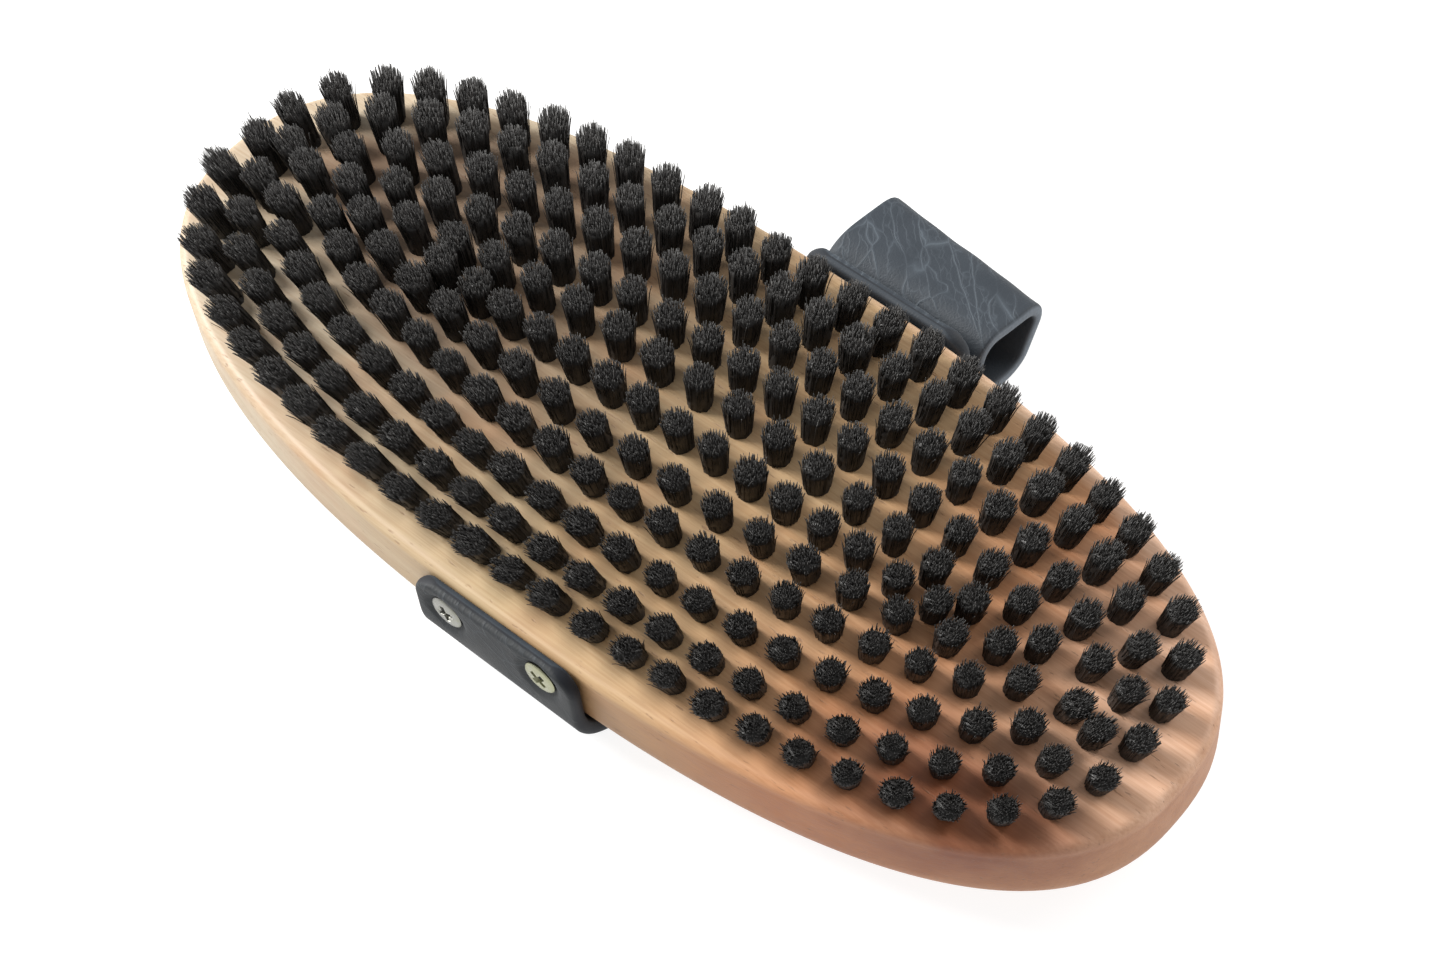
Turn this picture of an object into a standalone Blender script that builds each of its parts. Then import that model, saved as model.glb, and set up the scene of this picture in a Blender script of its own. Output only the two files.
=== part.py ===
"""Oval horse body brush: one-piece wooden block, rows of bristle tufts, leather hand strap, four screws.

Lies on its strap with the bristles up.  X runs along the block, Y across it, +Y is the side where
the strap stands off as a loop, Z is up.  All lengths below are millimetres and are scaled to metres
when a mesh is made.
"""
import math

import bmesh
import bpy
from mathutils import Matrix, Vector

MM = 0.001

# --- Driving dimensions (mm) -------------------------------------------------------------------
HALF_LENGTH = 110.0        # block, half of its long axis
HALF_WIDTH = 46.1          # block, half of its short axis
OUTLINE_POWER = 2.42       # 2 is an ellipse, higher is squarer
BLOCK_THICK = 19.0
FACE_ROUND = 1.8           # radius on the bristle-side edge
BACK_ROUND = 8.0           # radius on the hand-side edge
OUTLINE_STEPS = 80

STRAP_WIDTH = 37.2
STRAP_THICK = 2.6
STRAP_CORNER = 5.0         # rounded corners at both tips
STRAP_SKEW = 0.072         # sideways drift of the strap per unit of Y
STRAP_X_NEAR = 3.4         # strap centre at the near wall
TIP_Z = 22.3               # height both tips reach on the walls
NEAR_TILT = 0.035          # rise of the near tip per unit of X, the strap lies slightly askew
LOOP_Y, LOOP_Z = 65.6, 11.6    # centre of the loop's fold
LOOP_BEND = 3.2                # centreline radius of the fold
LOOP_TURN = 0.10           # turn of the loop's fold away from X
LOOP_START, LOOP_RUN = 2.0, 12.0    # the turn begins this far out of the wall and grows over this run
WALL_BEND = (2.0, 12.0, 2.0)        # bend off the far wall: centre out of the wall, Z, radius
SHOULDER = (-8.55, -1.8, 6.0)       # upper bend of the loop: centre from the fold's centre, radius
FOOT_Y, FOOT_R = 60.0, 7.0          # lower bend, where the loop comes down to lie flat
FLAT_Y = 30.0                       # half length of the straight run under the block
SEAT_GAP = 0.3             # clearance between parts that touch

SCREW_HEAD_R = 3.65
SCREW_SHANK_R = 1.3
SCREW_LENGTH = 13.0
SCREW_PLACES = ((-11.3, 16.0), (10.7, 17.4))    # along X from the strap's centre, and Z
RECESS_HALF = (1.9, 0.45)      # cross recess: arm half length, arm half width
RECESS_DEPTH = 1.1

TUFT_HEIGHT = 8.0          # above the wood, at the middle
TUFT_SLOPE = -1.5          # change of height at one half length towards +X
TUFT_ROOT_R = 2.2
TUFT_TIP_R = 2.75
TUFT_SIDES = 6
WEB_HEIGHT = 0.5           # strip that joins the neighbouring tufts of a group
LEAN_X, LEAN_Y = 0.42, 1.10    # outward fan: sideways run per unit of height at one half length
LEAN_BASE = -0.04              # run of every tuft towards +X per unit of height
ROWS_CENTRE = (0.6, 0.1)       # the drilled rows sit a little off the block's centre
# rows from the outside in, in half lengths: half length, half width, outline power, then the number
# of tufts and how far along its first step the row begins
ROWS = (
    (0.905, 0.3435, 2.79, 56, 0.0),
    (0.847, 0.285, 2.66, 50, 0.70),
    (0.795, 0.219, 2.36, 46, -0.10),
    (0.719, 0.146, 2.19, 40, 0.65),
    (0.652, 0.079, 1.84, 32, 0.06),
)
CENTRE_ROW = (-0.484, 0.532, 15)
QUARTERS = ("far_right", "far_left", "near_left", "near_right")

# --- Derived levels ----------------------------------------------------------------------------
BACK_Z = STRAP_THICK + SEAT_GAP
FACE_Z = BACK_Z + BLOCK_THICK
WALL_Y = HALF_WIDTH + SEAT_GAP + STRAP_THICK / 2    # strap centreline where it lies on a wall
HALF_T = STRAP_THICK / 2


def clear_scene():
    for ob in list(bpy.data.objects):
        bpy.data.objects.remove(ob, do_unlink=True)


def material(name, colour, roughness, metallic=0.0):
    mat = bpy.data.materials.new(name)
    mat.use_nodes = True
    bsdf = mat.node_tree.nodes["Principled BSDF"]
    bsdf.inputs["Base Color"].default_value = (*colour, 1.0)
    bsdf.inputs["Roughness"].default_value = roughness
    bsdf.inputs["Metallic"].default_value = metallic
    return mat


def to_object(name, bm, mat, group):
    bmesh.ops.recalc_face_normals(bm, faces=bm.faces)
    bmesh.ops.transform(bm, matrix=Matrix.Diagonal((MM, MM, MM, 1.0)), verts=bm.verts)
    mesh = bpy.data.meshes.new(name)
    bm.to_mesh(mesh)
    bm.free()
    mesh.materials.append(mat)
    ob = bpy.data.objects.new(name, mesh)
    group.objects.link(ob)
    return ob


def cut(target, cutter, cutters):
    cutters.objects.link(cutter)
    cutter.hide_render = True
    cutter.display_type = "WIRE"
    mod = target.modifiers.new("cut", "BOOLEAN")
    mod.operation = "DIFFERENCE"
    mod.solver = "EXACT"
    mod.object = cutter


def outline_point(half_x, half_y, power, angle):
    c, s = math.cos(angle), math.sin(angle)
    x = half_x * math.copysign(abs(c) ** (2 / power), c)
    y = half_y * math.copysign(abs(s) ** (2 / power), s)
    return x, y


def outline(half_x, half_y, power, count, shift=0.0):
    """Points evenly spaced by arc length, counter-clockwise from +X, shifted by a part of a step."""
    fine = 4000
    pts = [outline_point(half_x, half_y, power, 2 * math.pi * i / fine) for i in range(fine + 1)]
    run = [0.0]
    for p, q in zip(pts, pts[1:]):
        run.append(run[-1] + math.dist(p, q))
    result, j = [], 0
    for k in range(count):
        want = (k + shift) / count % 1.0 * run[-1]
        j = 0 if want < run[j] else j
        while run[j + 1] < want:
            j += 1
        t = (want - run[j]) / max(run[j + 1] - run[j], 1e-9)
        result.append((pts[j][0] + t * (pts[j + 1][0] - pts[j][0]),
                       pts[j][1] + t * (pts[j + 1][1] - pts[j][1])))
    return result


def bridge(bm, lower, upper):
    n = len(lower)
    for i in range(n):
        bm.faces.new((lower[i], lower[(i + 1) % n], upper[(i + 1) % n], upper[i]))


def make_block(mat, group):
    levels = []
    for i in range(5):
        a = math.pi / 2 * i / 4
        levels.append((BACK_ROUND * (1 - math.sin(a)), BACK_Z + BACK_ROUND * (1 - math.cos(a))))
    for i in range(4):
        a = math.pi / 2 * i / 3
        levels.append((FACE_ROUND * (1 - math.cos(a)), FACE_Z - FACE_ROUND * (1 - math.sin(a))))
    bm = bmesh.new()
    loops = []
    for inset, z in levels:
        pts = outline(HALF_LENGTH - inset, HALF_WIDTH - inset, OUTLINE_POWER, OUTLINE_STEPS)
        loops.append([bm.verts.new((x, y, z)) for x, y in pts])
    for lower, upper in zip(loops, loops[1:]):
        bridge(bm, lower, upper)
    bm.faces.new(loops[0][::-1])
    bm.faces.new(loops[-1])
    return to_object("wood_block", bm, mat, group)


def arc(centre, radius, start, end, steps):
    """Centreline points on an arc in the YZ plane, angles in degrees, both ends included."""
    return [(centre[0] + radius * math.cos(math.radians(start + (end - start) * i / steps)),
             centre[1] + radius * math.sin(math.radians(start + (end - start) * i / steps)))
            for i in range(steps + 1)]


def strap_centreline():
    """From the far tip down its wall, out and over the loop, under the block, up the near wall."""
    path = [(WALL_Y, TIP_Z - d) for d in (0.0, 0.4, 1.2, 2.6, STRAP_CORNER)]
    out, height, radius = WALL_BEND
    path += arc((WALL_Y + out, height), radius, 180, 325, 6)
    back, drop, radius = SHOULDER
    path += arc((LOOP_Y + back, LOOP_Z + drop), radius, 145, 84, 5)
    path += arc((LOOP_Y, LOOP_Z), LOOP_BEND, 84, -42, 6)
    path += arc((FOOT_Y, HALF_T + FOOT_R), FOOT_R, -48, -90, 4)
    path += [(y, HALF_T) for y in (FLAT_Y, 0.0, -FLAT_Y)]
    bend = BACK_ROUND + SEAT_GAP + HALF_T
    path += arc((-WALL_Y + bend, HALF_T + bend), bend, 270, 180, 7)
    path += [(-WALL_Y, TIP_Z - d) for d in (STRAP_CORNER, 2.6, 1.2, 0.4, 0.0)]
    return path


def strap_centre_x(y):
    return STRAP_X_NEAR + STRAP_SKEW * (y + WALL_Y)


def wall_share(y, z):
    """0 below the near wall, 1 at the near tip."""
    return min(max((z - BACK_Z - BACK_ROUND) / (TIP_Z - BACK_Z - BACK_ROUND), 0.0), 1.0) * (y < 0)


def loop_share(y):
    """0 where the strap is held by the block, rising smoothly to 1 at the loop's fold."""
    t = min(max((y - WALL_Y - LOOP_START) / LOOP_RUN, 0.0), 1.0)
    return t * t * (3 - 2 * t)


def make_strap(mat, group):
    path = strap_centreline()
    run = [0.0]
    for p, q in zip(path, path[1:]):
        run.append(run[-1] + math.dist(p, q))
    bm = bmesh.new()
    loops = []
    for i, (y, z) in enumerate(path):
        before, after = path[max(i - 1, 0)], path[min(i + 1, len(path) - 1)]
        along = Vector((after[0] - before[0], after[1] - before[1])).normalized()
        out = Vector((-along.y, along.x))
        from_tip = min(run[i], run[-1] - run[i])
        half = STRAP_WIDTH / 2
        if from_tip < STRAP_CORNER:
            drop = STRAP_CORNER - from_tip
            half += math.sqrt(max(STRAP_CORNER ** 2 - drop ** 2, 0.0)) - STRAP_CORNER
        x = strap_centre_x(y)
        turn = LOOP_TURN * loop_share(y) * half
        tilt = NEAR_TILT * wall_share(y, z) * half
        loops.append([bm.verts.new((x + side * half, y - side * turn + face * HALF_T * out.x,
                                    z + side * tilt + face * HALF_T * out.y))
                      for side, face in ((-1, -1), (1, -1), (1, 1), (-1, 1))])
    for lower, upper in zip(loops, loops[1:]):
        bridge(bm, lower, upper)
    bm.faces.new(loops[0][::-1])
    bm.faces.new(loops[-1])
    return to_object("hand_strap", bm, mat, group)


def lathe(bm, profile, steps, frame):
    """Closed solid turned about the local Z axis; profile is (radius, height) from tip to top."""
    loops = []
    for r, h in profile:
        if r == 0:
            loops.append([bm.verts.new(frame @ Vector((0, 0, h)))])
        else:
            loops.append([bm.verts.new(frame @ Vector((r * math.cos(2 * math.pi * i / steps),
                                                       r * math.sin(2 * math.pi * i / steps), h)))
                          for i in range(steps)])
    for lower, upper in zip(loops, loops[1:]):
        if len(lower) == 1:
            for i in range(steps):
                bm.faces.new((lower[0], upper[(i + 1) % steps], upper[i]))
        else:
            bridge(bm, lower, upper)
    for end in (loops[0], loops[-1]):
        if len(end) > 1:
            bm.faces.new(end)


def screw_frames():
    """Name and frame of each screw; local Z points out of the wall, local zero is the strap's face."""
    face = WALL_Y + HALF_T
    for side, name in ((-1, "near"), (1, "far")):
        turn = Matrix.Rotation(math.radians(-90 * side), 4, "X")
        for (offset, height), where in zip(SCREW_PLACES, ("left", "right")):
            x = strap_centre_x(side * WALL_Y) + offset
            yield f"screw_{name}_{where}", Matrix.Translation((x, side * face, height)) @ turn


def screw_profile(grow, tail):
    """Countersunk screw outline, grown by a clearance and lengthened at its tip."""
    shank, head = SCREW_SHANK_R + grow, SCREW_HEAD_R + grow
    return [(0, -SCREW_LENGTH - tail), (shank, -SCREW_LENGTH + 2.5 - tail), (shank, -2.1 - grow),
            (head, -0.2), (head, 0.15 + grow)]


def make_screws(mat, group, cutters, block, strap):
    for name, frame in screw_frames():
        bm = bmesh.new()
        lathe(bm, screw_profile(0.0, 0.0), 20, frame)
        screw = to_object(name, bm, mat, group)
        for turned in (0, 90):
            bm = bmesh.new()
            bmesh.ops.create_cube(bm, size=2.0)
            arm = Matrix.Diagonal((RECESS_HALF[0], RECESS_HALF[1], RECESS_DEPTH, 1.0))
            spin = Matrix.Rotation(math.radians(turned + 30), 4, "Z")
            lift = Matrix.Translation((0, 0, 0.15))
            bmesh.ops.transform(bm, matrix=frame @ lift @ spin @ arm, verts=bm.verts)
            recess = to_object(f"{name}_recess_{turned}", bm, mat, cutters)
            cutters.objects.unlink(recess)
            cut(screw, recess, cutters)
        for target in (strap, block):
            bm = bmesh.new()
            lathe(bm, screw_profile(SEAT_GAP, 1.0), 20, frame)
            hole = to_object(f"{name}_hole_{target.name}", bm, mat, cutters)
            cutters.objects.unlink(hole)
            cut(target, hole, cutters)


def lean(x, y, rise):
    """Sideways shift of a tuft that stands at (x, y) in its rows, at a height above the wood."""
    return (LEAN_BASE + LEAN_X * x / HALF_LENGTH) * rise, LEAN_Y * y / HALF_LENGTH * rise


def make_tufts(name, centres, mat, group):
    """Neighbouring tufts of one row, joined at their roots by a thin strip so they are one body."""
    bm = bmesh.new()
    low = FACE_Z + SEAT_GAP
    last = len(centres) - 1
    previous = None
    for i, (x, y) in enumerate(centres):
        a, b = centres[max(i - 1, 0)], centres[min(i + 1, last)]
        heading = math.atan2(b[1] - a[1], b[0] - a[0])
        height = TUFT_HEIGHT + TUFT_SLOPE * x / HALF_LENGTH
        levels = ((low, TUFT_ROOT_R), (low + WEB_HEIGHT, TUFT_ROOT_R), (FACE_Z + height, TUFT_TIP_R))
        rings = []
        for z, r in levels:
            dx, dy = lean(x, y, z - FACE_Z)
            cx, cy = x + dx + ROWS_CENTRE[0], y + dy + ROWS_CENTRE[1]
            rings.append([bm.verts.new((cx + r * math.cos(heading + math.radians(60 * k - 30)),
                                        cy + r * math.sin(heading + math.radians(60 * k - 30)), z))
                          for k in range(TUFT_SIDES)])
        foot, web, top = rings
        for k in range(TUFT_SIDES):
            if (k == 0 and i < last) or (k == 3 and i > 0):
                continue
            n = (k + 1) % TUFT_SIDES
            bm.faces.new((foot[k], foot[n], web[n], web[k]))
        bridge(bm, web, top)
        bm.faces.new(foot[::-1])
        bm.faces.new(top)
        if previous:
            p_foot, p_web = previous
            bm.faces.new((p_foot[0], p_foot[1], foot[3], foot[4]))
            bm.faces.new((p_web[1], p_web[0], web[4], web[3]))
            bm.faces.new((p_foot[1], p_web[1], web[3], foot[3]))
            bm.faces.new((p_web[0], p_foot[0], foot[4], web[4]))
        previous = (foot, web)
    to_object(name, bm, mat, group)


def make_rows(mat, group):
    for number, (half_x, half_y, power, count, begins) in enumerate(ROWS, 1):
        pts = outline(half_x * HALF_LENGTH, half_y * HALF_LENGTH, power, count, begins)
        for q, quarter in enumerate(QUARTERS):
            chunk = pts[round(q * count / 4):round((q + 1) * count / 4)]
            make_tufts(f"tufts_row{number}_{quarter}", chunk, mat, group)
    first, end, count = CENTRE_ROW
    line = [((first + (end - first) * i / (count - 1)) * HALF_LENGTH, 0.0) for i in range(count)]
    make_tufts("tufts_centre_row", line, mat, group)


def main():
    clear_scene()
    scene = bpy.context.scene
    group = bpy.data.collections.new("horse_body_brush")
    cutters = bpy.data.collections.new("cutters")
    scene.collection.children.link(group)
    scene.collection.children.link(cutters)

    wood = material("beech_wood", (0.62, 0.40, 0.23), 0.5)
    leather = material("black_leather", (0.03, 0.035, 0.045), 0.55)
    steel = material("plated_steel", (0.70, 0.67, 0.58), 0.3, 1.0)
    bristle = material("black_bristle", (0.02, 0.016, 0.015), 0.7)

    block = make_block(wood, group)
    strap = make_strap(leather, group)
    make_screws(steel, group, cutters, block, strap)
    make_rows(bristle, group)

    # centre the footprint on the origin: the strap sets both Y limits
    low_y = -(WALL_Y + HALF_T + 0.15)
    high_y = LOOP_Y + LOOP_BEND + HALF_T + LOOP_TURN * STRAP_WIDTH / 2
    shift = -(low_y + high_y) / 2 * MM
    for ob in list(group.objects) + list(cutters.objects):
        ob.data.transform(Matrix.Translation((0.0, shift, 0.0)))


main()
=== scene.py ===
"""Looks of an oval horse body brush: beech block, rows of bristle tufts, leather hand strap, screws.

The brush lies on its strap with the bristles up.  Lengths below are millimetres in the block's own
frame, whose origin is under the middle of the block; SHIFT moves them to the model's frame.
"""
import math

import bmesh
import bpy
import numpy as np
from mathutils import Matrix, Vector


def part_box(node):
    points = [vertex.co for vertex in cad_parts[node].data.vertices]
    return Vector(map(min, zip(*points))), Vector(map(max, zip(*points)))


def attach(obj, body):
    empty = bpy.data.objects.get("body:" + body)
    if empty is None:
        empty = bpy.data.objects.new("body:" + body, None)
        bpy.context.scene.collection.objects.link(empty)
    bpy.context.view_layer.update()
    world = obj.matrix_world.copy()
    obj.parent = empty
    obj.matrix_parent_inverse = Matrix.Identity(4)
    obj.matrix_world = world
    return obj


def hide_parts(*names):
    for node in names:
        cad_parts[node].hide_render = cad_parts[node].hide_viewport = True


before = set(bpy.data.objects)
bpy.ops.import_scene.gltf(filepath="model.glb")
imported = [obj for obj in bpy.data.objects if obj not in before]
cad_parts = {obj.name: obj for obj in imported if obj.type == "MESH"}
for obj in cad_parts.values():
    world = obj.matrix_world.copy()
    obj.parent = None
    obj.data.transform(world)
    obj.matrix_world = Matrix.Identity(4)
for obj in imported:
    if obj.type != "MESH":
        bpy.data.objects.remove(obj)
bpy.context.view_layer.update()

MM = 0.001
BLOCK_LOW, BLOCK_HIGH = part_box("wood_block")
SHIFT = Vector((0.0, (BLOCK_LOW[1] + BLOCK_HIGH[1]) / 2, 0.0))

# --- Dimensions shared with the solid model (mm) -------------------------------------------------
HALF_LENGTH, HALF_WIDTH, OUTLINE_POWER = 110.0, 46.1, 2.42    # power 2 is an ellipse
BLOCK_THICK = 19.0
FACE_ROUND, BACK_ROUND = 1.8, 8.0       # radii of the bristle-side and the hand-side edge
STRAP_WIDTH, STRAP_THICK, STRAP_CORNER = 37.2, 2.6, 5.0
STRAP_SKEW, STRAP_X_NEAR = 0.072, 3.4   # sideways drift per unit of Y, centre at the near wall
NEAR_TILT = 0.035                       # rise of the near tip per unit of X
LOOP_Y, LOOP_Z, LOOP_BEND = 65.6, 11.6, 3.2    # centre and centreline radius of the loop's fold
LOOP_TURN = 0.10                        # turn of the fold away from X
LOOP_START, LOOP_RUN = 2.0, 12.0        # the turn begins this far out of the wall, over this run
WALL_BEND = (2.0, 12.0, 2.0)            # bend off the far wall: centre out of the wall, Z, radius
SHOULDER = (-8.55, -1.8, 6.0)           # upper bend: centre from the fold's centre, radius
FOOT_Y, FOOT_R, FLAT_Y = 60.0, 7.0, 30.0    # lower bend, half length of the straight run
TIP_Z, SEAT_GAP = 22.3, 0.3             # height of both tips, clearance between touching parts
SCREW_PLACES = ((-11.3, 16.0), (10.7, 17.4))    # along X from the strap's centre, and Z
SCREW_HEAD_R, SCREW_SHANK_R = 3.65, 1.3
TUFT_HEIGHT, TUFT_SLOPE = 8.0, -1.5     # at the middle, and its change at one half length to +X
LEAN_X, LEAN_Y, LEAN_BASE = 0.42, 1.10, -0.04    # sideways run per unit of height
ROWS_CENTRE = (0.6, 0.1)
# rows from the outside in, in half lengths: half length, half width, outline power, then the number
# of tufts and how far along its first step the row begins
ROWS = (
    (0.905, 0.3435, 2.79, 56, 0.0),
    (0.847, 0.285, 2.66, 50, 0.70),
    (0.795, 0.219, 2.36, 46, -0.10),
    (0.719, 0.146, 2.19, 40, 0.65),
    (0.652, 0.079, 1.84, 32, 0.06),
)
CENTRE_ROW = (-0.484, 0.532, 15)        # from, to, number of tufts
QUARTERS = ("far_right", "far_left", "near_left", "near_right")

BACK_Z = STRAP_THICK + SEAT_GAP
FACE_Z = BACK_Z + BLOCK_THICK
HALF_T = STRAP_THICK / 2
WALL_Y = HALF_WIDTH + SEAT_GAP + HALF_T

# --- Dimensions of the drawn pieces only (mm) ----------------------------------------------------
TUFT_ROOT_R, TUFT_TIP_R = 2.35, 3.15    # loose bristles, a little wider than the solid bundles
BRISTLES_PER_TUFT = 210
EDGE_BULGE = 0.75                       # rounding of the leather's long edges
RECESS_TOP, RECESS_BOTTOM = (2.1, 0.62, 0.4), (0.9, 0.36, -1.9)    # arm half length, half width, Z
GOLDEN_ANGLE, THIRD_TURN = 2.39996, 2.0944    # radians

# --- Stage (metres, degrees) ---------------------------------------------------------------------
FLOOR_HALF, FLOOR_Z = 3.0, -0.0002
CAMERA_PLACE = (0.2274, -0.20415, 0.44596)    # from under the middle of the block
CAMERA_TURN = (34.5994, 3.7956, 41.053)       # about X, Y and Z


# --- Mesh helpers --------------------------------------------------------------------------------
def make_object(name, verts, faces, mat):
    """Smooth mesh object from points in millimetres in the block's frame."""
    mesh = bpy.data.meshes.new(name)
    pts = np.asarray(verts, dtype=float) * MM + np.array(SHIFT)
    mesh.from_pydata(pts.tolist(), [], [tuple(f) for f in faces])
    mesh.update()
    mesh.polygons.foreach_set("use_smooth", [True] * len(mesh.polygons))
    mesh.materials.append(mat)
    ob = bpy.data.objects.new(name, mesh)
    bpy.context.scene.collection.objects.link(ob)
    return ob


def point_vectors(ob, name, values):
    """Store one vector for each point of the mesh."""
    attr = ob.data.attributes.new(name, "FLOAT_VECTOR", "POINT")
    attr.data.foreach_set("vector", np.asarray(values, dtype=np.float32).ravel())


def ring_faces(loops, count):
    """Quads between successive closed loops of count points, numbered loop after loop."""
    faces = []
    for j in range(loops - 1):
        for i in range(count):
            n = (i + 1) % count
            faces.append((j * count + i, j * count + n, (j + 1) * count + n, (j + 1) * count + i))
    return faces


def outline(half_x, half_y, power, count, shift=0.0):
    """Points evenly spaced by arc length round the oval, counter-clockwise from +X."""
    angle = np.linspace(0, 2 * math.pi, 6001)
    c, s = np.cos(angle), np.sin(angle)
    x = half_x * np.sign(c) * np.abs(c) ** (2 / power)
    y = half_y * np.sign(s) * np.abs(s) ** (2 / power)
    run = np.concatenate([[0], np.cumsum(np.hypot(np.diff(x), np.diff(y)))])
    want = (np.arange(count) + shift) / count % 1.0 * run[-1]
    return np.interp(want, run, x), np.interp(want, run, y)


# --- Node helpers --------------------------------------------------------------------------------
class Nodes:
    """Short way to build a material's node tree."""

    def __init__(self, name):
        self.mat = bpy.data.materials.new(name)
        self.mat.use_nodes = True
        self.tree = self.mat.node_tree
        self.bsdf = self.tree.nodes["Principled BSDF"]

    def add(self, kind, **inputs):
        node = self.tree.nodes.new(kind)
        for key, value in inputs.items():
            self.feed(node.inputs[key.replace("_", " ")], value)
        return node

    def feed(self, socket, value):
        if isinstance(value, bpy.types.NodeSocket):
            self.tree.links.new(value, socket)
        else:
            socket.default_value = value

    def object_coords(self, scale=(1, 1, 1)):
        """Object coordinates in millimetres, stretched by scale."""
        coords = self.tree.nodes.new("ShaderNodeTexCoord").outputs["Object"]
        return self.mapped(coords, [s / MM for s in scale])

    def mapped(self, vector, scale, rotation=(0, 0, 0)):
        node = self.add("ShaderNodeMapping", Vector=vector, Scale=scale, Rotation=rotation)
        return node.outputs["Vector"]

    def noise(self, vector, scale, detail=3.0, roughness=0.5):
        node = self.add("ShaderNodeTexNoise", Vector=vector, Scale=scale, Detail=detail,
                        Roughness=roughness)
        return node.outputs["Fac"]

    def noise_vector(self, vector, scale, amount):
        """The vector with a noise of that size added to it."""
        node = self.add("ShaderNodeTexNoise", Vector=vector, Scale=scale, Detail=2.0)
        centred = self.vector_math("SUBTRACT", node.outputs["Color"], (0.5, 0.5, 0.5))
        moved = self.vector_math("SCALE", centred, None, amount)
        return self.vector_math("ADD", vector, moved)

    def vector_math(self, operation, a, b=None, scale=None):
        node = self.tree.nodes.new("ShaderNodeVectorMath")
        node.operation = operation
        self.feed(node.inputs[0], a)
        if b is not None:
            self.feed(node.inputs[1], b)
        if scale is not None:
            self.feed(node.inputs["Scale"], scale)
        return node.outputs["Vector"]

    def length(self, vector):
        node = self.tree.nodes.new("ShaderNodeVectorMath")
        node.operation = "LENGTH"
        self.feed(node.inputs[0], vector)
        return node.outputs["Value"]

    def cracks(self, vector, scale):
        """Distance to the edges of a cell pattern."""
        node = self.tree.nodes.new("ShaderNodeTexVoronoi")
        node.feature = "DISTANCE_TO_EDGE"
        self.feed(node.inputs["Vector"], vector)
        self.feed(node.inputs["Scale"], scale)
        return node.outputs["Distance"]

    def ramp(self, value, *stops):
        """Greys or colours at positions, interpolated."""
        node = self.add("ShaderNodeValToRGB", Fac=value)
        elements = node.color_ramp.elements
        while len(elements) < len(stops):
            elements.new(0.5)
        for element, (position, colour) in zip(elements, stops):
            element.position = position
            grey = isinstance(colour, (int, float))
            element.color = (colour, colour, colour, 1) if grey else (*colour, 1)
        return node.outputs["Color"]

    def mix(self, factor, a, b, blend="MIX"):
        node = self.tree.nodes.new("ShaderNodeMix")
        node.data_type = "RGBA"
        node.blend_type = blend
        for index, value in ((0, factor), (6, a), (7, b)):
            if isinstance(value, tuple) and len(value) == 3:
                value = (*value, 1.0)
            self.feed(node.inputs[index], value)
        return node.outputs[2]

    def math(self, operation, a, b=0.0, clamp=False):
        node = self.tree.nodes.new("ShaderNodeMath")
        node.operation = operation
        node.use_clamp = clamp
        self.feed(node.inputs[0], a)
        self.feed(node.inputs[1], b)
        return node.outputs[0]

    def bump(self, height, distance, strength):
        node = self.add("ShaderNodeBump", Height=height, Distance=distance, Strength=strength)
        return node.outputs["Normal"]

    def attribute(self, name):
        node = self.tree.nodes.new("ShaderNodeAttribute")
        node.attribute_name = name
        return node.outputs["Vector"]

    def axis(self, vector, which):
        return self.add("ShaderNodeSeparateXYZ", Vector=vector).outputs[which]

    def surface(self, **sockets):
        for key, value in sockets.items():
            self.feed(self.bsdf.inputs[key.replace("_", " ")], value)
        return self.mat


# --- Materials -----------------------------------------------------------------------------------
# the middle of the painted shade patch near the +X end in mm, and how fast it and the drilled field fade
# out, per mm
SHADE_PATCH_CENTRE, SHADE_PATCH_FADE = (88.0, -38.0, 22.0), (0.023, 0.042, 0.05)
FIELD_FADE = (0.0103, 0.0275, 0.0)


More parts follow.
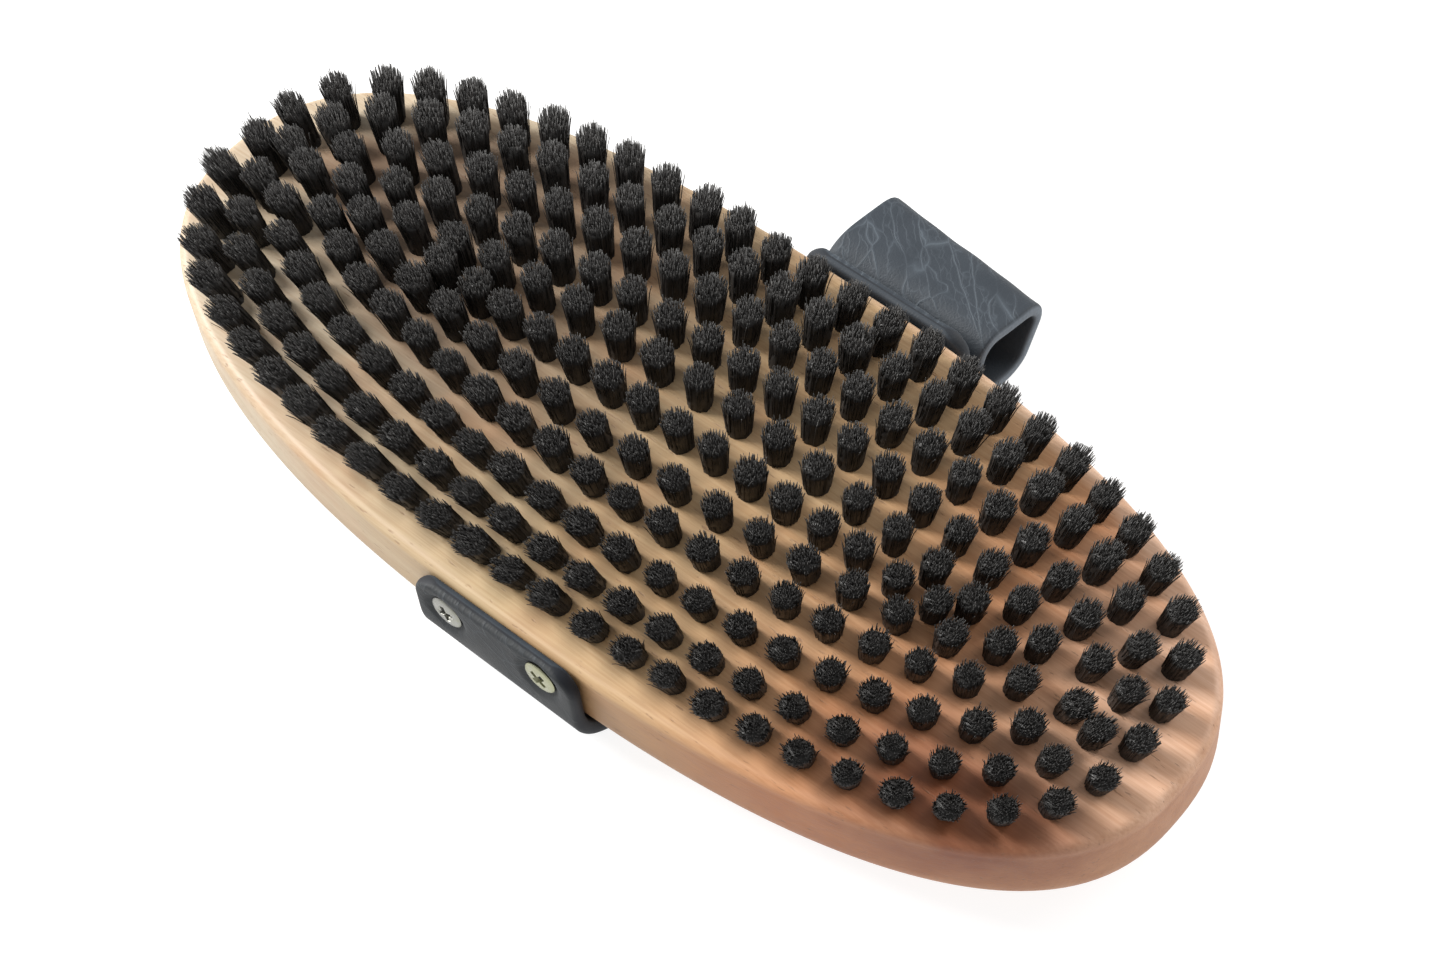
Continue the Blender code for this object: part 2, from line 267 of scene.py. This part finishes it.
def beech():
    """Unvarnished beech, grain along X, with short dark flecks; pale at -X and orange towards +X, partly
    painted light and shade.

    Painted shade makes the wall deeper in colour than the face towards +X, darkens a patch near the +X end
    and the drilled field, most towards -X; painted light makes the far border pale.
    """
    n = Nodes("beech")
    coords = n.object_coords()
    warped = n.noise_vector(coords, 0.02, 6.0)
    bands = n.noise(n.mapped(warped, (0.010, 0.22, 0.22)), 1.0, 4.0, 0.55)
    fine = n.noise(n.mapped(coords, (0.05, 2.0, 2.0)), 1.0, 3.0, 0.6)
    fleck_noise = n.noise(n.mapped(coords, (0.30, 1.7, 1.7)), 1.0, 2.0, 0.5)
    flecks = n.ramp(fleck_noise, (0.66, 0.0), (0.73, 1.0))
    patch = n.noise(coords, 0.022, 2.0)
    blotch = n.noise(coords, 0.06, 3.0)
    along = n.math("ADD", n.math("MULTIPLY", n.axis(coords, "X"), 1 / 220), 0.40)
    along = n.math("ADD", along, n.math("MULTIPLY", patch, 0.20), clamp=True)
    # Colour along X, partly the beech's own tone and partly painted light and shade: a painted sheen pales
    # the -X end, painted shade deepens the orange towards +X, and the last stop is a painted pool of light
    # at the +X end.
    colour = n.ramp(along, (0.0, (0.45, 0.385, 0.290)), (0.25, (0.455, 0.370, 0.258)),
                    (0.50, (0.46, 0.335, 0.188)), (0.66, (0.49, 0.325, 0.175)),
                    (0.82, (0.54, 0.265, 0.130)), (0.97, (0.66, 0.420, 0.290)))
    # Painted shade: the wall below the face rim is darkened towards +X, where it turns away from the lamp.
    wall = n.ramp(n.math("MULTIPLY", n.axis(coords, "Z"), 1 / 25), (0.76, 1.0), (0.86, 0.0))
    wall = n.math("MULTIPLY", wall, n.ramp(along, (0.42, 0.0), (0.74, 1.0)))
    colour = n.mix(wall, colour, (0.68, 0.51, 0.36), "MULTIPLY")
    # Painted shade: a darker patch on the near border and wall near the +X end, standing in for the tufts'
    # shadows and the shading there.
    away = n.vector_math("SUBTRACT", coords, SHADE_PATCH_CENTRE)
    away = n.length(n.vector_math("MULTIPLY", away, SHADE_PATCH_FADE))
    shade_patch = n.ramp(n.math("ADD", away, n.math("MULTIPLY", blotch, 0.4)), (0.45, 1.0), (1.0, 0.0))
    colour = n.mix(shade_patch, colour, (0.50, 0.31, 0.22), "MULTIPLY")
    # Painted shade: the wood inside the tuft field is darkened, most towards -X, standing in for the shade
    # of the tufts.
    field = n.length(n.vector_math("MULTIPLY", coords, FIELD_FADE))
    field = n.ramp(field, (0.88, 1.0), (1.0, 0.0))
    shade_between_tufts = n.ramp(along, (0.15, 0.78), (0.33, 0.58), (0.48, 0.28), (0.62, 0.0))
    colour = n.mix(n.math("MULTIPLY", field, shade_between_tufts), colour, (0.36, 0.25, 0.20), "MULTIPLY")
    # Painted light: the far border outside the tuft field is paled towards +X, as a lit highlight on the
    # wood.
    far = n.ramp(n.math("MULTIPLY", n.axis(coords, "Y"), 1 / 60), (0.2, 0.0), (0.6, 1.0))
    edge = n.math("SUBTRACT", far, field, clamp=True)
    edge = n.math("MULTIPLY", edge, n.ramp(along, (0.40, 0.0), (0.60, 0.9)))
    colour = n.mix(edge, colour, (0.86, 0.66, 0.52))
    colour = n.mix(n.ramp(bands, (0.35, 0.55), (0.60, 0.0)), colour, (0.78, 0.66, 0.54), "MULTIPLY")
    colour = n.mix(n.math("MULTIPLY", n.ramp(blotch, (0.50, 0.0), (0.72, 1.0)), 0.35), colour,
                   (0.46, 0.235, 0.12))
    colour = n.mix(n.ramp(fine, (0.35, 0.40), (0.62, 0.0)), colour, (0.70, 0.56, 0.44), "MULTIPLY")
    colour = n.mix(n.math("MULTIPLY", flecks, 0.55), colour, (0.20, 0.105, 0.055))
    relief = n.math("ADD", n.math("MULTIPLY", fine, 0.6), n.math("MULTIPLY", flecks, -0.5))
    roughness = n.ramp(fine, (0.3, 0.46), (0.7, 0.60))
    return n.surface(Base_Color=colour, Roughness=roughness, Normal=n.bump(relief, 0.00015, 0.6))


def black_leather():
    """Black strap leather: pale slanting creases on the grain side, smooth inside; blue-grey at the
    loop, with painted shade making the near tip duller and darker, dark cut edges at the near tip and
    painted shade on the cut edges near the far tip."""
    n = Nodes("strap_leather")
    place = n.attribute("strap_place")
    side = n.axis(place, "Z")
    along = n.math("MULTIPLY", n.axis(place, "X"), 1 / 200)
    near = n.ramp(along, (0.35, 0.0), (0.70, 1.0))
    flat = n.mapped(place, (1, 1, 0), (0, 0, math.radians(-38)))
    warped = n.noise_vector(flat, 0.10, 2.2)
    long_creases = n.cracks(n.mapped(warped, (0.24, 0.034, 1)), 1.0)
    short_creases = n.cracks(n.mapped(n.noise_vector(flat, 0.3, 1.8), (0.55, 0.12, 1)), 1.0)
    pebble = n.cracks(flat, 1.6)
    patch = n.noise(flat, 0.10, 3.0)
    long_line = n.ramp(long_creases, (0.0, 1.0), (0.02, 0.45), (0.07, 0.0))
    short_line = n.ramp(short_creases, (0.0, 0.5), (0.04, 0.2), (0.10, 0.0))
    keep = n.ramp(patch, (0.42, 0.0), (0.58, 1.0))
    lines = n.math("MAXIMUM", n.math("MULTIPLY", long_line, n.ramp(patch, (0.38, 0.1), (0.58, 1.0))),
                   n.math("MULTIPLY", short_line, keep))
    grain_side = n.ramp(side, (0.55, 0.0), (0.95, 1.0))
    inner_side = n.ramp(n.math("MULTIPLY", side, -1.0), (0.55, 0.0), (0.95, 1.0))
    # Painted shade: the near tip's grain side gets a darker ground than the loop's, though it is the same
    # leather.
    loop_ground = n.mix(patch, (0.018, 0.024, 0.032), (0.034, 0.043, 0.054))
    near_ground = n.mix(patch, (0.015, 0.017, 0.019), (0.028, 0.031, 0.034))
    ground = n.mix(near, loop_ground, near_ground)
    strength = n.math("MULTIPLY", lines, n.math("SUBTRACT", 0.37, n.math("MULTIPLY", near, 0.25)))
    grain = n.mix(strength, ground, (0.14, 0.17, 0.20))
    edge = n.mix(n.noise(place, 2.5, 2.0), (0.095, 0.113, 0.134), (0.165, 0.195, 0.230))
    edge = n.mix(near, edge, (0.009, 0.011, 0.016))
    # Painted shade: the cut edges near the far tip, up the far wall by the bristles, are darkened.
    edge = n.mix(n.ramp(along, (0.06, 1.0), (0.11, 0.0)), edge, (0.014, 0.018, 0.024))
    colour = n.mix(grain_side, edge, grain)
    colour = n.mix(inner_side, colour, (0.030, 0.038, 0.048))
    height = n.math("ADD", n.math("MULTIPLY", lines, -0.7), n.math("MULTIPLY", pebble, 0.5))
    height = n.math("MULTIPLY", height, grain_side)
    height = n.math("ADD", height, n.math("MULTIPLY", n.noise(place, 3.5, 2.0), 0.35))
    roughness = n.ramp(patch, (0.3, 0.56), (0.7, 0.72))
    return n.surface(Base_Color=colour, Roughness=roughness, Specular_IOR_Level=0.35,
                     Normal=n.bump(height, 0.00020, 0.6))


def plated_steel():
    """Dull zinc plate, yellower towards +X, with fine turning marks."""
    n = Nodes("zinc_plate")
    coords = n.object_coords()
    patch = n.noise(coords, 0.9, 3.0)
    yellow = n.math("ADD", n.math("MULTIPLY", n.axis(coords, "X"), 0.035), patch)
    colour = n.mix(n.ramp(yellow, (0.2, 0.0), (1.0, 1.0)), (0.27, 0.27, 0.25), (0.35, 0.35, 0.235))
    marks = n.noise(coords, 9.0, 2.0)
    return n.surface(Base_Color=colour, Metallic=1.0, Roughness=n.ramp(patch, (0.3, 0.24), (0.7, 0.42)),
                     Normal=n.bump(marks, 0.00006, 0.5))


def black_bristle():
    """Black bristle with a brown cast and grey cut ends; each bristle has its own shade."""
    n = Nodes("bristle_black")
    own = n.attribute("bristle_tone")
    shade = n.axis(own, "X")
    height = n.axis(own, "Y")
    body = n.mix(shade, (0.012, 0.011, 0.010), (0.034, 0.029, 0.026))
    tip = n.mix(shade, (0.018, 0.018, 0.018), (0.11, 0.108, 0.105))
    colour = n.mix(n.ramp(height, (0.90, 0.0), (1.0, 1.0)), body, tip)
    streaks = n.noise(n.object_coords((3.0, 3.0, 0.25)), 1.0, 2.0)
    colour = n.mix(n.ramp(streaks, (0.4, 0.5), (0.65, 0.0)), colour, (0.008, 0.007, 0.007))
    return n.surface(Base_Color=colour, Roughness=n.ramp(streaks, (0.3, 0.42), (0.7, 0.60)),
                     Normal=n.bump(streaks, 0.0002, 0.5))


def floor_material():
    """White light table: its glow is a little under white, and the lamps add the rest."""
    n = Nodes("floor_white")
    tone = n.noise(n.object_coords(), 0.004, 2.0)
    return n.surface(Base_Color=n.mix(tone, (0.24, 0.24, 0.24), (0.26, 0.26, 0.26)), Roughness=0.9,
                     Emission_Color=(1.0, 1.0, 1.0, 1.0), Emission_Strength=0.86)


# --- The pieces ----------------------------------------------------------------------------------
def settle(ob, slot_name, *nodes):
    """Tie a piece to the body and hide the CAD nodes it stands for; slot_name is not used."""
    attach(ob, "root")
    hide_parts(*nodes)


def build_block(mat):
    """Oval block, rounded a little on its face and more on its back."""
    count = 288
    levels = [(HALF_WIDTH * 0.5, BACK_Z), (BACK_ROUND + 0.8, BACK_Z)]
    for a in np.linspace(0, math.pi / 2, 12):
        levels.append((BACK_ROUND * (1 - math.sin(a)), BACK_Z + BACK_ROUND * (1 - math.cos(a))))
    levels += [(0.0, z) for z in np.linspace(BACK_Z + BACK_ROUND, FACE_Z - FACE_ROUND, 5)[1:-1]]
    for a in np.linspace(0, math.pi / 2, 8):
        levels.append((FACE_ROUND * (1 - math.cos(a)), FACE_Z - FACE_ROUND * (1 - math.sin(a))))
    levels += [(FACE_ROUND + 0.8, FACE_Z), (HALF_WIDTH * 0.5, FACE_Z)]
    verts = []
    for inset, z in levels:
        x, y = outline(HALF_LENGTH - inset, HALF_WIDTH - inset, OUTLINE_POWER, count)
        verts.append(np.column_stack([x, y, np.full(count, z)]))
    faces = ring_faces(len(levels), count)
    faces.append(tuple(range(count))[::-1])
    faces.append(tuple(range((len(levels) - 1) * count, len(levels) * count)))
    ob = make_object("block", np.vstack(verts), faces, mat)
    settle(ob, "wood", "wood_block")


def arc(centre, radius, start, end, steps):
    """Points on an arc in the YZ plane, angles in degrees from +Y."""
    a = np.radians(np.linspace(start, end, steps + 1))
    return np.column_stack([centre[0] + radius * np.cos(a), centre[1] + radius * np.sin(a)])


def strap_path():
    """Fine centreline in the YZ plane, from the far tip round to the near tip."""
    bend = BACK_ROUND + SEAT_GAP + HALF_T
    out, height, wall_r = WALL_BEND
    back, drop, shoulder_r = SHOULDER
    parts = [
        np.array([[WALL_Y, TIP_Z], [WALL_Y, TIP_Z - STRAP_CORNER]]),
        arc((WALL_Y + out, height), wall_r, 180, 325, 14),
        arc((LOOP_Y + back, LOOP_Z + drop), shoulder_r, 145, 84, 14),
        arc((LOOP_Y, LOOP_Z), LOOP_BEND, 84, -42, 16),
        arc((FOOT_Y, HALF_T + FOOT_R), FOOT_R, -48, -90, 8),
        np.array([[FLAT_Y, HALF_T], [0.0, HALF_T], [-FLAT_Y, HALF_T]]),
        arc((-WALL_Y + bend, HALF_T + bend), bend, 270, 180, 20),
        np.array([[-WALL_Y, TIP_Z - STRAP_CORNER], [-WALL_Y, TIP_Z]]),
    ]
    pts = np.vstack(parts)
    run = np.concatenate([[0], np.cumsum(np.hypot(*np.diff(pts, axis=0).T))])
    length = run[-1]
    tip = np.array([0.0, 0.05, 0.15, 0.3, 0.5, 0.8, 1.2, 1.8, 2.6, 3.4, 4.2, 5.0])
    u = np.concatenate([tip, np.arange(5.8, length - 5.4, 0.8), length - tip[::-1]])
    y, z = np.interp(u, run, pts[:, 0]), np.interp(u, run, pts[:, 1])
    for _ in range(2):
        y[2:-2] = (y[1:-3] + 2 * y[2:-2] + y[3:-1]) / 4
        z[2:-2] = (z[1:-3] + 2 * z[2:-2] + z[3:-1]) / 4
    return u, y, z, length


def strap_section():
    """Rows of share of the half width, bulge past it (mm) and face, 1 grain side to -1 inner side."""
    across = np.linspace(-1, 1, 49)
    bend = np.radians(np.linspace(90, -90, 9)[1:-1])
    section = [(v, 0.0, 1.0) for v in across]
    section += [(1.0, EDGE_BULGE * math.cos(a), math.sin(a)) for a in bend]
    section += [(v, 0.0, -1.0) for v in across[::-1]]
    section += [(-1.0, -EDGE_BULGE * math.cos(a), math.sin(a)) for a in bend[::-1]]
    return np.array(section)


def build_strap(mat):
    """Swept strap with bulging edges, thinned tips, dimples at the screws and a slight ripple."""
    u, y, z, length = strap_path()
    dy, dz = np.gradient(y, u), np.gradient(z, u)
    size = np.hypot(dy, dz)
    out_y, out_z = -dz / size, dy / size
    section = strap_section()
    share, bulge, face = section.T
    wave = np.random.default_rng(5).uniform(0, 2 * math.pi, 6)
    verts, place = [], []
    for i in range(len(u)):
        from_tip = min(u[i], length - u[i])
        half = STRAP_WIDTH / 2 - EDGE_BULGE
        if from_tip < STRAP_CORNER:
            drop = STRAP_CORNER - from_tip
            half += math.sqrt(max(STRAP_CORNER ** 2 - drop ** 2, 0.0)) - STRAP_CORNER
        thin = math.sqrt(max(1 - (1 - min(from_tip / 0.7, 1.0)) ** 2, 0.0)) * 0.8 + 0.2
        centre = STRAP_X_NEAR + STRAP_SKEW * (y[i] + WALL_Y)
        x = centre + share * half + bulge
        off = face * HALF_T * thin
        loose = np.clip((y[i] - WALL_Y - LOOP_START) / LOOP_RUN, 0, 1)
        loose = loose * loose * (3 - 2 * loose)
        ripple = 0.06 * np.sin(0.31 * x + wave[0] + 0.11 * u[i]) + 0.05 * np.sin(0.67 * x + wave[1])
        off = off + loose * ripple
        turn = LOOP_TURN * loose * (x - centre)
        up_wall = np.clip((z[i] - BACK_Z - BACK_ROUND) / (TIP_Z - BACK_Z - BACK_ROUND), 0, 1) * (y[i] < 0)
        tilt = NEAR_TILT * up_wall * (x - centre)
        for hole, height in SCREW_PLACES:
            on_wall = abs(abs(y[i]) - WALL_Y) < 0.4 and z[i] > 9.5
            if on_wall:
                distance = np.hypot(x - centre - hole, z[i] - height)
                dimple = 0.85 * np.exp(-np.clip(distance - SCREW_HEAD_R, 0, None) ** 2 / 0.7)
                off = off - np.where(face > 0.5, dimple, 0.0)
        verts.append(np.column_stack([x, y[i] - turn + out_y[i] * off, z[i] + tilt + out_z[i] * off]))
        place.append(np.column_stack([np.full(len(x), u[i]), x - centre, face]))
    count = len(section)
    faces = [f[::-1] for f in ring_faces(len(u), count)]
    faces.append(tuple(range(count)))
    faces.append(tuple(range((len(u) - 1) * count, len(u) * count))[::-1])
    ob = make_object("strap", np.vstack(verts), faces, mat)
    point_vectors(ob, "strap_place", np.vstack(place))
    settle(ob, "leather", "hand_strap")


def screw_solid():
    """Points and faces of a screw about its own axis, local zero at the strap's face."""
    head, shank, steps = SCREW_HEAD_R, SCREW_SHANK_R, 64
    profile = [(shank, -12.5), (shank, -2.6), (head - 0.3, -0.72), (head - 0.28, -0.5),
               (head - 0.42, -0.32), (head - 0.75, -0.2), (2.2, -0.12), (1.2, -0.07)]
    a = np.linspace(0, 2 * math.pi, steps, endpoint=False)
    verts = [np.column_stack([r * np.cos(a), r * np.sin(a), np.full(steps, h)]) for r, h in profile]
    faces = ring_faces(len(profile), steps)
    faces.append(tuple(range(steps))[::-1])
    faces.append(tuple(range((len(profile) - 1) * steps, len(profile) * steps)))
    return np.vstack(verts), faces


def recess_tool(place):
    """Tapered cross to cut a recess with, in metres at a screw's place."""
    cross = bmesh.new()
    for turn in (0, 90):
        made = bmesh.ops.create_cube(cross, size=2.0)["verts"]
        for v in made:
            arm, half, z = RECESS_BOTTOM if v.co.z < 0 else RECESS_TOP
            v.co = (v.co.x * arm, v.co.y * half, z)
        bmesh.ops.rotate(cross, verts=made, matrix=Matrix.Rotation(math.radians(turn), 3, "Z"))
    to_frame = Matrix.Translation(SHIFT) @ Matrix.Diagonal((MM, MM, MM, 1))
    bmesh.ops.transform(cross, matrix=to_frame @ place, verts=cross.verts)
    mesh = bpy.data.meshes.new("cross")
    cross.to_mesh(mesh)
    cross.free()
    tool = bpy.data.objects.new("cross", mesh)
    bpy.context.scene.collection.objects.link(tool)
    return tool


def build_screws(mat):
    """Countersunk heads with rounded rims and a cross recess, set a little below the leather."""
    face = WALL_Y + HALF_T
    verts, faces = screw_solid()
    for side, name in ((-1, "near"), (1, "far")):
        for (offset, height), where, spin in zip(SCREW_PLACES, ("left", "right"), (20, 52)):
            x = STRAP_X_NEAR + STRAP_SKEW * (side * WALL_Y + WALL_Y) + offset
            place = Matrix.Translation((x, side * face, height)) @ Matrix.Rotation(
                math.radians(-90 * side), 4, "X") @ Matrix.Rotation(math.radians(spin), 4, "Z")
            pts = [place @ Vector(p) for p in verts]
            ob = make_object(f"screw_{name}_{where}_head", pts, faces, mat)
            tool = recess_tool(place)
            cut = ob.modifiers.new("recess", "BOOLEAN")
            cut.object, cut.solver, cut.use_self = tool, "EXACT", True
            bpy.context.view_layer.update()
            done = bpy.data.meshes.new_from_object(ob.evaluated_get(bpy.context.evaluated_depsgraph_get()))
            ob.modifiers.clear()
            ob.data = done
            bpy.data.objects.remove(tool)
            done.set_sharp_from_angle(angle=math.radians(35))
            settle(ob, "screw_metal", f"screw_{name}_{where}")


def tuft_core(rng):
    """Dense inner bundle of one tuft, domed on top: points, faces and tones."""
    sides, levels = 16, 6
    a = np.arange(sides) / sides * 2 * math.pi
    verts, tones = [], []
    for j in range(levels + 2):
        t = min(j / levels, 1.0)
        dome = max(j - levels, 0) / 2
        rise = t * (TUFT_HEIGHT - 2.4) + 0.9 * math.sin(dome * math.pi / 2)
        radius = TUFT_ROOT_R + (TUFT_TIP_R - 0.62 - TUFT_ROOT_R) * t ** 1.3
        radius = radius * (1 - 0.55 * dome) * (1 + rng.normal(0, 0.05, sides))
        verts.append(np.column_stack([radius * np.cos(a), radius * np.sin(a),
                                      rise + (rng.normal(0, 0.1, sides) if j else 0 * a)]))
        tones.append(np.column_stack([rng.uniform(0, 0.4, sides), np.full(sides, t * 0.8), 0 * a]))
    verts.append(np.array([[0.0, 0.0, TUFT_HEIGHT - 1.4]]))
    tones.append(np.array([[0.2, 0.8, 0.0]]))
    faces = ring_faces(levels + 2, sides)
    last = (levels + 2) * sides
    faces += [(last - sides + i, last - sides + (i + 1) % sides, last) for i in range(sides)]
    return np.vstack(verts), faces, np.vstack(tones)


def bristle_faces():
    """Faces of every three-sided bristle of a tuft, three rings of points each."""
    faces = []
    for base in range(0, BRISTLES_PER_TUFT * 9, 9):
        for j in (0, 3):
            for k in range(3):
                n = (k + 1) % 3
                faces.append((base + j + k, base + j + n, base + j + 3 + n, base + j + 3 + k))
        faces.append((base + 6, base + 7, base + 8))
    return faces


BRISTLE_FACES = bristle_faces()


def tuft_bristles(rng):
    """Separate bristles of one tuft: they splay towards the rim, where they also stand lower."""
    count = BRISTLES_PER_TUFT
    r = np.sqrt((np.arange(count) + 0.5) / count)
    a = np.arange(count) * GOLDEN_ANGLE + rng.uniform(0, 6.28) + rng.normal(0, 0.08, count)
    root = TUFT_ROOT_R * r
    tip = (TUFT_TIP_R - 0.15) * r + rng.normal(0, 0.14, count)
    turn = rng.normal(0, 0.09, count)
    stray = rng.uniform(0, 1, count) > 0.95
    tip = tip + stray * rng.uniform(0.2, 0.75, count)
    height = TUFT_HEIGHT - 1.15 * r ** 2.6 + rng.normal(0.0, 0.26, count)
    height = height - stray * rng.uniform(0, 0.8, count)
    shade = rng.uniform(0, 1, count) ** 1.5
    thick = rng.uniform(0.085, 0.135, count)
    start = np.where(r > 0.8, 0.0, 0.6)
    verts = np.zeros((count, 3, 3, 3))
    tones = np.zeros((count, 3, 3, 3))
    for level, (t, wide) in enumerate(((start, 1.0), (0.75 + 0 * start, 1.0), (1.0 + 0 * start, 0.65))):
        flare = t ** 1.7
        rad = root + (tip - root) * flare
        ang = a + turn * flare
        for k in range(3):
            b = ang + k * THIRD_TURN
            verts[:, level, k, 0] = rad * np.cos(ang) + thick * wide * np.cos(b)
            verts[:, level, k, 1] = rad * np.sin(ang) + thick * wide * np.sin(b)
            verts[:, level, k, 2] = height * t
            tones[:, level, k, 0] = shade
            tones[:, level, k, 1] = t
    return verts.reshape(-1, 3), BRISTLE_FACES, tones.reshape(-1, 3)


def build_tufts(name, node, centres, mat, seed):
    """One piece of tufts at these centres, leaning outwards and lower towards +X."""
    rng = np.random.default_rng(seed)
    verts, faces, tones, total = [], [], [], 0
    for x, y in centres:
        lean_x = LEAN_BASE + LEAN_X * x / HALF_LENGTH + rng.normal(0, 0.03)
        lean_y = LEAN_Y * y / HALF_LENGTH + rng.normal(0, 0.03)
        grow = 1 - 0.06 * x / HALF_LENGTH + rng.normal(0, 0.03)
        rise = 1 + TUFT_SLOPE * x / HALF_LENGTH / TUFT_HEIGHT + rng.normal(0, 0.02)
        for pts, fcs, tns in (tuft_core(rng), tuft_bristles(rng)):
            pts = pts * (grow, grow, rise)
            pts[:, 0] += x + ROWS_CENTRE[0] + lean_x * pts[:, 2]
            pts[:, 1] += y + ROWS_CENTRE[1] + lean_y * pts[:, 2]
            pts[:, 2] += FACE_Z - 0.05
            verts.append(pts)
            tones.append(tns)
            faces += [tuple(total + k for k in f) for f in fcs]
            total += len(pts)
    ob = make_object(name, np.vstack(verts), faces, mat)
    point_vectors(ob, "bristle_tone", np.vstack(tones))
    settle(ob, "bristle", node)


def build_rows(mat):
    """Five oval rows, each in quarters as the CAD nodes are, and the row along the middle."""
    seed = 100
    for number, (half_x, half_y, power, count, begins) in enumerate(ROWS, 1):
        x, y = outline(half_x * HALF_LENGTH, half_y * HALF_LENGTH, power, count, begins)
        pts = list(zip(x, y))
        for q, quarter in enumerate(QUARTERS):
            chunk = pts[round(q * count / 4):round((q + 1) * count / 4)]
            build_tufts(f"bristles_row{number}_{quarter}", f"tufts_row{number}_{quarter}", chunk, mat, seed)
            seed += 1
    first, end, count = CENTRE_ROW
    line = [(x * HALF_LENGTH, 0.0) for x in np.linspace(first, end, count)]
    build_tufts("bristles_centre_row", "tufts_centre_row", line, mat, seed)


# --- Stage ---------------------------------------------------------------------------------------
def area_light(name, place, target, size, power, colour):
    """Round lamp aimed at the target."""
    data = bpy.data.lights.new(name, "AREA")
    data.shape, data.size, data.energy, data.color = "DISK", size, power, colour
    ob = bpy.data.objects.new(name, data)
    ob.location = place
    ob.rotation_mode = "QUATERNION"
    ob.rotation_quaternion = (Vector(target) - Vector(place)).to_track_quat("-Z", "Y")
    bpy.context.scene.collection.objects.link(ob)


def build_stage():
    """Glowing floor, white surroundings and two soft lamps."""
    half = FLOOR_HALF
    mesh = bpy.data.meshes.new("floor")
    mesh.from_pydata([(-half, -half, 0), (half, -half, 0), (half, half, 0), (-half, half, 0)], [],
                     [(0, 1, 2, 3)])
    mesh.materials.append(floor_material())
    floor = bpy.data.objects.new("floor", mesh)
    floor.location.z = FLOOR_Z
    bpy.context.scene.collection.objects.link(floor)
    world = bpy.context.scene.world or bpy.data.worlds.new("world")
    bpy.context.scene.world = world
    world.use_nodes = True
    world.node_tree.nodes["Background"].inputs["Color"].default_value = (1.0, 1.0, 1.0, 1)
    world.node_tree.nodes["Background"].inputs["Strength"].default_value = 0.50
    area_light("key", (-0.78, -0.22, 0.64), (0, 0, 0.01), 0.5, 20.0, (1.0, 0.985, 0.96))
    area_light("back", (0.35, 0.75, 0.50), (0, 0, 0.01), 0.6, 5.5, (1.0, 0.97, 0.94))


def build_camera():
    """75 mm lens, looking down on the brush from its near right with a slight roll."""
    data = bpy.data.cameras.new("camera")
    data.sensor_width, data.lens = 36.0, 75.0
    data.clip_start, data.clip_end = 0.01, 20.0
    cam = bpy.data.objects.new("camera", data)
    cam.location = Vector(CAMERA_PLACE) + SHIFT
    cam.rotation_euler = [math.radians(angle) for angle in CAMERA_TURN]
    bpy.context.scene.collection.objects.link(cam)
    bpy.context.scene.camera = cam


bpy.context.scene.view_settings.view_transform = "Standard"
build_block(beech())
build_strap(black_leather())
build_screws(plated_steel())
build_rows(black_bristle())
build_stage()
build_camera()
